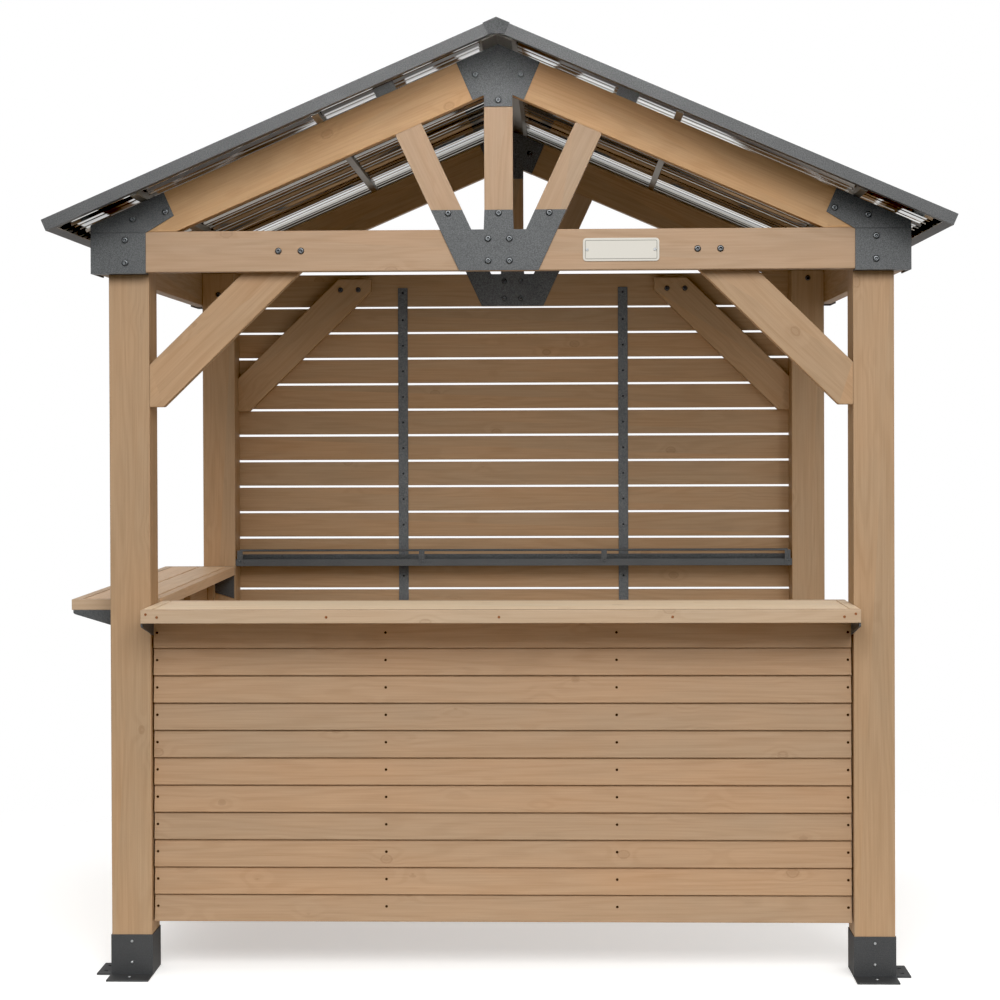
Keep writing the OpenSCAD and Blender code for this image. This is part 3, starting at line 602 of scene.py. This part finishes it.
bracket_low, bracket_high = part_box("front_corner_brackets")
for x, outward in ((bracket_low.x, LEFT), (bracket_high.x, RIGHT)):
    for y in SIDE_BOLT_Y:
        for z in SIDE_BOLT_HEIGHTS:
            plate_places.append((Vector((x, y, z * MM)), outward))
for corner in CORNERS:
    post_low, post_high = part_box(corner + "post")
    x = (post_low.x + post_high.x) / 2
    face, outward = (post_high.y, BACK) if corner.startswith("front") else (post_low.y, FRONT)
    beam_places.append((Vector((x, face, POST_BOLT_Z["left" if "left" in corner else "right"])), outward))
heads_piece("plate_bolts", plate_places, BUTTON_HEAD, plate_bolt)
heads_piece("beam_bolts", beam_places, BUTTON_HEAD, black_bolt)

nail_places = []
siding_low, siding_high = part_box("front_siding")
left_siding_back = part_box("left_siding")[1].x
nail_depth = (SIDING_BUTT - (SIDING_BUTT - SIDING_TIP) * NAIL_RISE) * MM - NAIL_SUNK * MM
for i in range(course_count(siding_low, siding_high)):
    z = siding_low.z + (i + NAIL_RISE) * SIDING_EXPOSURE * MM
    for x in FRONT_NAIL_X:
        nail_places.append((Vector((x, siding_high.y - nail_depth, z)), FRONT))
    for y in LEFT_NAIL_Y:
        nail_places.append((Vector((left_siding_back - nail_depth, y, z)), LEFT))
heads_piece("siding_nails", nail_places, SMALL_HEAD, brown_nail, sides=14)

counter_low, counter_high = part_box("front_counter")
side_low, side_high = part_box("left_counter")
screw_places = []
for x in FRONT_SCREW_X:
    drop = END_SCREW_DROP if x in END_SCREW_X else FRONT_SCREW_DROP
    screw_places.append((Vector((x, counter_low.y, counter_high.z - drop)), FRONT))
for y in LEFT_SCREW_Y:
    screw_places.append((Vector((side_low.x, y, side_high.z - LEFT_SCREW_DROP)), LEFT))
heads_piece("counter_screws", screw_places, SMALL_HEAD, red_screw, sides=14)

strap_low, strap_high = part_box("slat_straps")
strap_x = strap_high.x - STRAP_HALF
slats_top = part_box("rear_beam")[0].z
strap_places = []
for x in (-strap_x, strap_x):
    strap_places.append((Vector((x, strap_low.y, STRAP_TOP_SCREW_Z)), FRONT))
    for i in range(SLATS):
        z = slats_top - (i * SLAT_PITCH + SLAT_GAP + SLAT_HALF) * MM
        strap_places.append((Vector((x, strap_low.y, z)), FRONT))
heads_piece("strap_screws", strap_places, SMALL_HEAD, dark_screw, sides=14)

rafter_low, rafter_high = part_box("front_right_rafter")
sheet_low, sheet_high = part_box("right_roof_sheet")
pitch = math.radians(ROOF_PITCH)
bays = round((sheet_high.y - sheet_low.y) / (RIB_PITCH * MM))
roof_places = []
for x in (PURLIN_SPACING * MM, 2 * PURLIN_SPACING * MM):
    for side in (-1, 1):
        outward = Vector((side * math.sin(pitch), 0, math.cos(pitch)))
        for i in range(bays):
            y = sheet_low.y + (i + 0.5) * (sheet_high.y - sheet_low.y) / bays
            under = Vector((side * x, y, rafter_high.z - (x - rafter_low.x) * math.tan(pitch)))
            roof_places.append((under + outward * PAN_HEIGHT * MM, outward))
heads_piece("roof_screws", roof_places, ROOF_HEAD, plate_bolt, sides=12)

shelf_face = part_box("bottle_shelf")[0].y
shelf_places = [(Vector((x, shelf_face, SHELF_SCREW_Z)), FRONT) for x in SHELF_SCREW_X]
heads_piece("shelf_screws", shelf_places, PAN_HEAD, plate_bolt, sides=16)

foot_places = []
for corner in CORNERS:
    post_low, post_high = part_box(corner + "post")
    x = (post_low.x + post_high.x) / 2
    wall = FOOT_WALL * MM
    face, outward = (post_low.y - wall, FRONT) if corner.startswith("front") else (post_high.y + wall, BACK)
    for z in FOOT_SCREW_Z:
        foot_places.append((Vector((x, face, z)), outward))
    foot_places.append((Vector((x, face + outward.y * FLANGE_SCREW_OUT, FLANGE_TOP)), UP))
heads_piece("foot_screws", foot_places, PAN_HEAD, bright_screw, sides=16)


# Sign plate, left bare

# In millimetres: left, right, lower and upper side, then corners, border and screws.
SIGN_SIDES = (236.0, 450.0, 2020.0, 2085.0)
SIGN_RADIUS, SIGN_THICK, SIGN_EASE = 10.0, 3.0, 0.8
BORDER_INSET, BORDER_WIDTH, BORDER_RISE = 6.0, 1.6, 0.3
SIGN_SCREW_INSET = 12.0
sign_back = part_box("front_beam")[0].y
sign_face = sign_back - SIGN_THICK * MM


def rounded_outline(inset):
    """Outline in metres of the sign plate, drawn in by inset mm."""
    x0, x1, z0, z1 = SIGN_SIDES
    radius = SIGN_RADIUS - inset
    outline = []
    for x, z, start in ((x1, z1, 0), (x0, z1, 90), (x0, z0, 180), (x1, z0, 270)):
        centre_x = x + (SIGN_RADIUS if x == x0 else -SIGN_RADIUS)
        centre_z = z + (SIGN_RADIUS if z == z0 else -SIGN_RADIUS)
        for turned in range(0, 91, 15):
            angle = math.radians(start + turned)
            outline.append(((centre_x + radius * math.cos(angle)) * MM, (centre_z + radius * math.sin(angle)) * MM))
    return outline


def sign_plate():
    """Rounded enamel plate on the front beam, with nothing on it but a fine border."""
    bm = bmesh.new()
    prism(bm, rounded_outline(0), lambda u, v, t: Vector((u, t, v)), sign_back, sign_face)
    plate = mesh_piece("sign_plate", bm, sign_enamel)
    edge = plate.modifiers.new("rolled_edge", "BEVEL")
    edge.width = SIGN_EASE * MM
    edge.segments = 2

    bm = bmesh.new()
    rings = [[bm.verts.new((u, y, v)) for u, v in rounded_outline(inset)]
             for inset, y in ((BORDER_INSET, sign_face), (BORDER_INSET, sign_face - BORDER_RISE * MM),
                              (BORDER_INSET + BORDER_WIDTH, sign_face - BORDER_RISE * MM),
                              (BORDER_INSET + BORDER_WIDTH, sign_face))]
    for one, two in zip(rings, rings[1:] + rings[:1]):
        for k in range(len(one)):
            n = (k + 1) % len(one)
            bm.faces.new((one[k], one[n], two[n], two[k]))
    mesh_piece("sign_border", bm, border_enamel)


sign_plate()
sign_middle = sum(SIGN_SIDES[2:]) / 2 * MM
sign_places = [(Vector((x * MM, sign_face, sign_middle)), FRONT)
               for x in (SIGN_SIDES[0] + SIGN_SCREW_INSET, SIGN_SIDES[1] - SIGN_SCREW_INSET)]
heads_piece("sign_screws", sign_places, FLAT_HEAD, bright_screw, sides=14)


# Studio

# Lamps: name, place and aim in metres, width and height in metres, watts, spread in degrees, seen in reflections.
LAMPS = (("key", (0.6, -6.4, 4.6), (0, -0.8, 1.4), (6.0, 3.0), 342, 180, True),
         ("inner", (0.3, -0.5, 1.2), (0.3, 0.7, 2.6), (1.7, 0.4), 3.2, 180, False),
         ("gable", (-0.6, -5.0, 0.9), (-0.6, -0.9, 2.75), (2.4, 0.3), 1.5, 16, True))

# Dome: its strength above and below, how much stronger the back is, and the slopes between which it goes dim.
DOME_LIGHT, DOME_BELOW, DOME_BACK = 0.56, 0.06, 1.5
DIM_FROM, DIM_TO = -0.165, -0.19

# Floor: its half side, its drop and how far out it is full and gone, in metres, and its glow, more when looked at.
FLOOR_SIZE, FLOOR_DROP = 60, 0.0005
FLOOR_FULL, FLOOR_GONE = 1.25, 2.8
FLOOR_GLOW, FLOOR_GLOW_SEEN = 0.08, 0.4

# Camera: its place in metres, its turns in radians, its lens in pixels of the photo and its sensor in millimetres.
EYE = (0.1696, -6.7759, 1.5547)
EYE_YAW, EYE_PITCH, EYE_ROLL = 0.0285, -0.0083, -0.0037
FOCAL_PX, IMAGE_PX, PRINCIPAL_Y = 2100.4, 1000.0, 445.0
SENSOR_WIDTH = 36.0
BLACK_LEVEL = 0.012


def studio_floor(scene):
    """Matt pale floor that fades out into the white round the building."""
    bm = bmesh.new()
    bmesh.ops.create_grid(bm, x_segments=1, y_segments=1, size=FLOOR_SIZE)
    mesh = bpy.data.meshes.new("floor")
    bm.to_mesh(mesh)
    bm.free()
    floor = bpy.data.objects.new("floor", mesh)
    floor.location.z = -FLOOR_DROP
    scene.collection.objects.link(floor)
    pale, tree, shader = new_material("pale_studio_floor")
    shader.inputs["Base Color"].default_value = linear("#F2F2F0")
    shader.inputs["Roughness"].default_value = 0.9
    shader.inputs["Emission Color"].default_value = linear("#FFFFFF")
    looked_at = add(tree, "ShaderNodeLightPath").outputs["Is Camera Ray"]
    glow = add(tree, "ShaderNodeMapRange", {"Value": looked_at, "To Min": FLOOR_GLOW, "To Max": FLOOR_GLOW_SEEN})
    tree.links.new(glow.outputs[0], shader.inputs["Emission Strength"])
    place = add(tree, "ShaderNodeTexCoord").outputs["Object"]
    away = add(tree, "ShaderNodeVectorMath", {0: place}, operation="LENGTH").outputs["Value"]
    fade = add(tree, "ShaderNodeMapRange", {"Value": away, "From Min": FLOOR_GONE, "From Max": FLOOR_FULL},
               interpolation_type="SMOOTHSTEP")
    tree.links.new(fade.outputs[0], shader.inputs["Alpha"])
    mesh.materials.append(pale)


def studio_dome(scene):
    """White dome, brighter at the back and dim below, where only mirroring metal sees it bright behind the building."""
    world = bpy.data.worlds.new("studio")
    world.use_nodes = True
    tree = world.node_tree
    tree.nodes.clear()
    way = add(tree, "ShaderNodeSeparateXYZ", {0: add(tree, "ShaderNodeTexCoord").outputs["Generated"]}).outputs
    rays = add(tree, "ShaderNodeLightPath").outputs
    behind = add(tree, "ShaderNodeMapRange", {"Value": way["Y"], "From Min": 0.2, "From Max": 0.7,
                                              "To Min": DOME_BELOW, "To Max": DOME_LIGHT}).outputs[0]
    below = add(tree, "ShaderNodeMix", {0: rays["Is Glossy Ray"], 2: DOME_BELOW, 3: behind}).outputs[0]
    dome = add(tree, "ShaderNodeMapRange", {"Value": way["Z"], "From Min": DIM_TO, "From Max": DIM_FROM,
                                            "To Min": below, "To Max": DOME_LIGHT}).outputs[0]
    depth = add(tree, "ShaderNodeMapRange", {"Value": way["Y"], "From Min": -1.0, "From Max": 1.0,
                                             "To Min": 1.0, "To Max": DOME_BACK}).outputs[0]
    light = add(tree, "ShaderNodeMath", {0: dome, 1: depth}, operation="MULTIPLY").outputs[0]
    strength = add(tree, "ShaderNodeMix", {0: rays["Is Camera Ray"], 2: light, 3: 1.0}).outputs[0]
    sky = add(tree, "ShaderNodeBackground", {"Color": linear("#FFFFFF"), "Strength": strength})
    add(tree, "ShaderNodeOutputWorld", {"Surface": sky.outputs[0]})
    scene.world = world


def studio_lamps(scene):
    """A wide soft key lamp, with small ones for the inside of the roof and the front gable."""
    for name, place, aim, size, power, spread, mirrored_too in LAMPS:
        lamp = bpy.data.lights.new(name, "AREA")
        lamp.shape = "RECTANGLE"
        lamp.size, lamp.size_y = size
        lamp.energy = power
        lamp.spread = math.radians(spread)
        light = bpy.data.objects.new(name, lamp)
        light.location = place
        light.visible_camera = False
        light.visible_glossy = mirrored_too
        light.rotation_euler = (Vector(aim) - Vector(place)).to_track_quat("-Z", "Y").to_euler()
        scene.collection.objects.link(light)


def photo_camera(scene):
    """The camera of the photo, solved from the posts, beam, counter and roof lines."""
    camera = bpy.data.cameras.new("camera")
    camera.sensor_width = SENSOR_WIDTH
    camera.lens = FOCAL_PX / IMAGE_PX * camera.sensor_width
    camera.shift_y = (PRINCIPAL_Y - IMAGE_PX / 2) / IMAGE_PX
    eye = bpy.data.objects.new("camera", camera)
    level = Matrix.Rotation(EYE_YAW, 4, "Z") @ Matrix.Rotation(math.pi / 2 + EYE_PITCH, 4, "X")
    eye.matrix_world = Matrix.Translation(EYE) @ (level @ Matrix.Rotation(EYE_ROLL, 4, "Z"))
    scene.collection.objects.link(eye)
    scene.camera = eye
    view = scene.view_settings
    view.view_transform = "Standard"
    view.use_curve_mapping = True
    view.curve_mapping.black_level = (BLACK_LEVEL, BLACK_LEVEL, BLACK_LEVEL)
    view.curve_mapping.update()


studio_floor(bpy.context.scene)
studio_dome(bpy.context.scene)
studio_lamps(bpy.context.scene)
photo_camera(bpy.context.scene)
